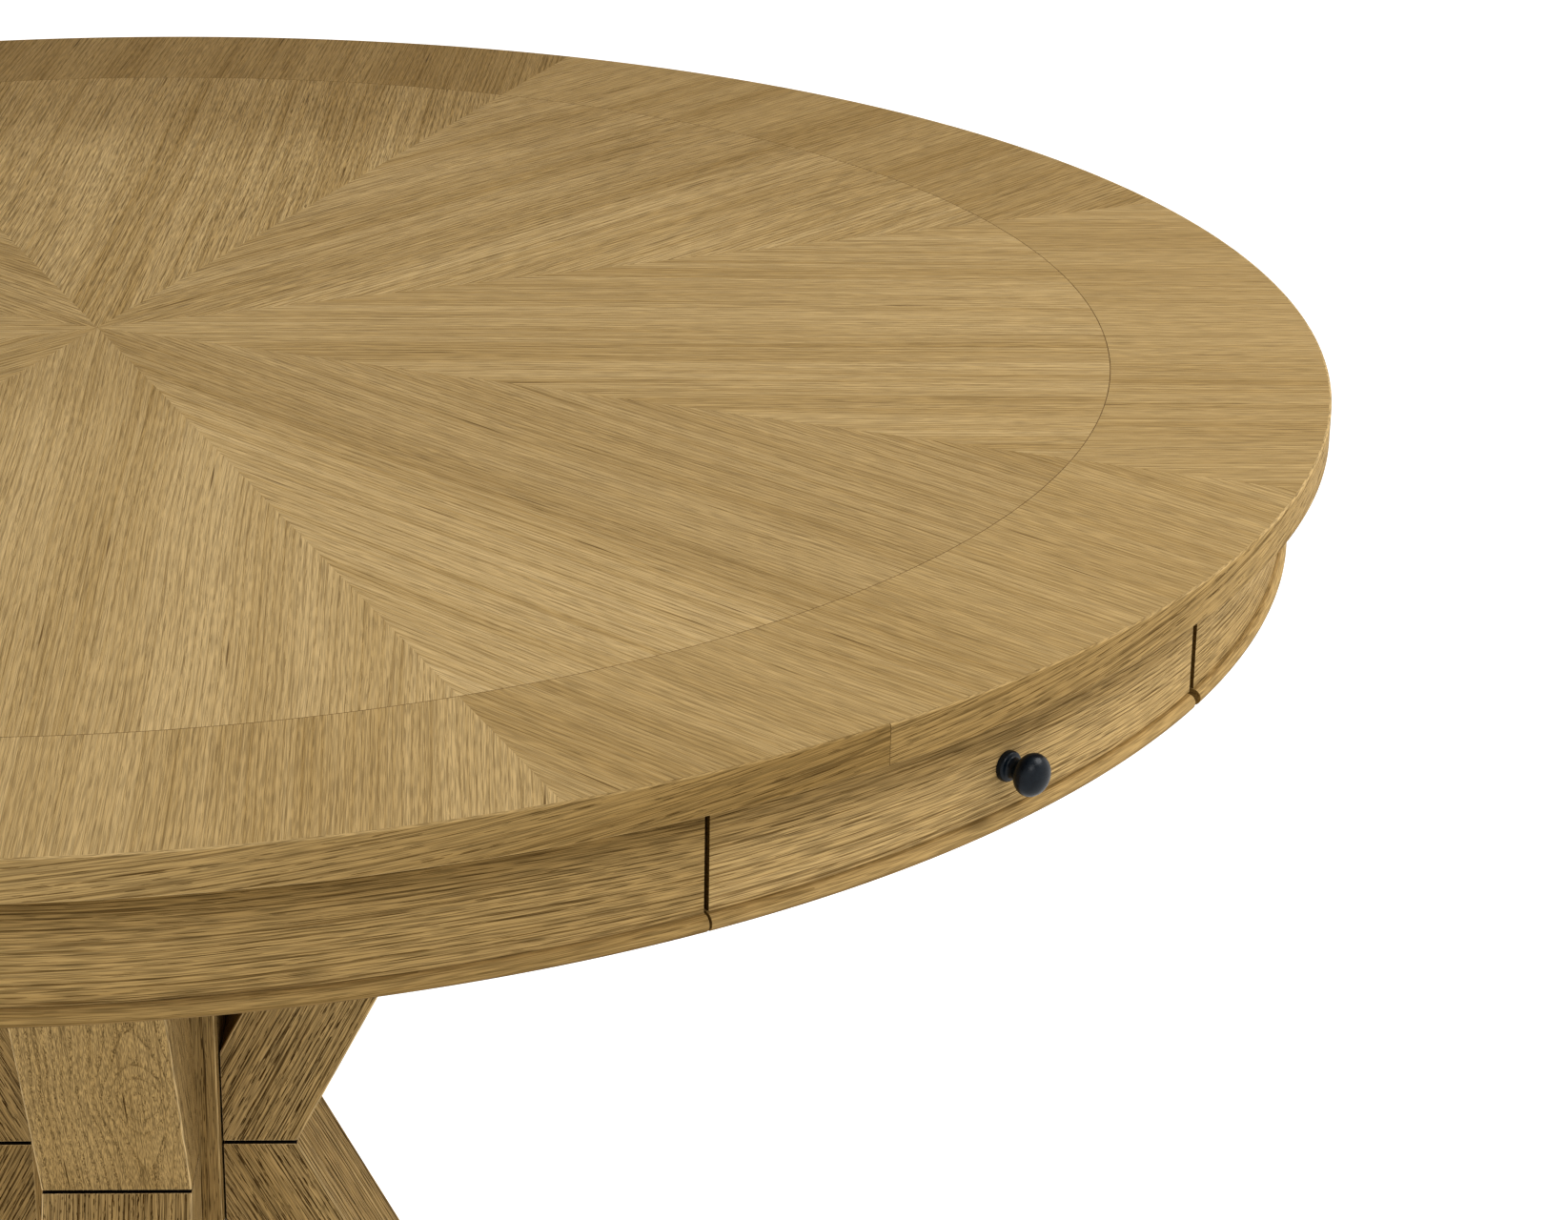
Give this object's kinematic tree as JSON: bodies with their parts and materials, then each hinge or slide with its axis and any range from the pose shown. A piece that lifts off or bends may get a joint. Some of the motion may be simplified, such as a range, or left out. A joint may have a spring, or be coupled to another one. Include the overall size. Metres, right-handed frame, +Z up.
{
  "type": "round pedestal table",
  "caption": "Round wooden pedestal table with a sunburst veneer top, a bent apron with small drawers on round knobs, and a square post with X-shaped wings.",
  "frame": {"origin": "on the floor, under the middle of the round top", "axes": "+Z up; the drawers face -Y (the one in the picture), +X, +Y and -X; the wings of the base lie on the diagonals between them"},
  "size_m": [1.1, 1.1, 0.76],
  "materials": {
    "oak_top": "golden oak veneer laid as a sunburst, satin lacquer",
    "oak_apron": "golden oak, grain running round the apron, satin lacquer",
    "oak_base": "slightly darker open-pored oak, grain along each piece, satin lacquer",
    "drawer_ply": null,
    "knob_metal": "dark blue-black satin",
    "glide_nylon": "dark brown nylon"
  },
  "bodies": {
    "table": {"table_top": "oak_top", "cleat_upper": "oak_base", "cleat_lower": "oak_base", "post": "oak_base", "apron_panel_se": "oak_apron", "apron_bead_se": "oak_apron", "arm_se": "oak_base", "leg_se": "oak_base", "glide_se": "glide_nylon", "apron_panel_ne": "oak_apron", "apron_bead_ne": "oak_apron", "arm_ne": "oak_base", "leg_ne": "oak_base", "glide_ne": "glide_nylon", "apron_panel_nw": "oak_apron", "apron_bead_nw": "oak_apron", "arm_nw": "oak_base", "leg_nw": "oak_base", "glide_nw": "glide_nylon", "apron_panel_sw": "oak_apron", "apron_bead_sw": "oak_apron", "arm_sw": "oak_base", "leg_sw": "oak_base", "glide_sw": "glide_nylon", "runner_south_left": "drawer_ply", "runner_south_right": "drawer_ply", "runner_east_left": "drawer_ply", "runner_east_right": "drawer_ply", "runner_north_left": "drawer_ply", "runner_north_right": "drawer_ply", "runner_west_left": "drawer_ply", "runner_west_right": "drawer_ply"},
    "drawer_south": {"drawer_south_front": "oak_apron", "drawer_south_bead": "oak_apron", "drawer_south_side_left": "drawer_ply", "drawer_south_side_right": "drawer_ply", "drawer_south_back": "drawer_ply", "drawer_south_bottom": "drawer_ply", "drawer_south_knob": "knob_metal"},
    "drawer_east": {"drawer_east_front": "oak_apron", "drawer_east_bead": "oak_apron", "drawer_east_side_left": "drawer_ply", "drawer_east_side_right": "drawer_ply", "drawer_east_back": "drawer_ply", "drawer_east_bottom": "drawer_ply", "drawer_east_knob": "knob_metal"},
    "drawer_north": {"drawer_north_front": "oak_apron", "drawer_north_bead": "oak_apron", "drawer_north_side_left": "drawer_ply", "drawer_north_side_right": "drawer_ply", "drawer_north_back": "drawer_ply", "drawer_north_bottom": "drawer_ply", "drawer_north_knob": "knob_metal"},
    "drawer_west": {"drawer_west_front": "oak_apron", "drawer_west_bead": "oak_apron", "drawer_west_side_left": "drawer_ply", "drawer_west_side_right": "drawer_ply", "drawer_west_back": "drawer_ply", "drawer_west_bottom": "drawer_ply", "drawer_west_knob": "knob_metal"}
  },
  "joints": [
    {"name": "drawer_south_slide", "type": "slide", "parent": "table", "child": "drawer_south", "axis": [0, -1, 0], "range_m": [0, 0.2]},
    {"name": "drawer_east_slide", "type": "slide", "parent": "table", "child": "drawer_east", "axis": [1, 0, 0], "range_m": [0, 0.2]},
    {"name": "drawer_north_slide", "type": "slide", "parent": "table", "child": "drawer_north", "axis": [0, 1, 0], "range_m": [0, 0.2]},
    {"name": "drawer_west_slide", "type": "slide", "parent": "table", "child": "drawer_west", "axis": [-1, 0, 0], "range_m": [0, 0.2]}
  ]
}
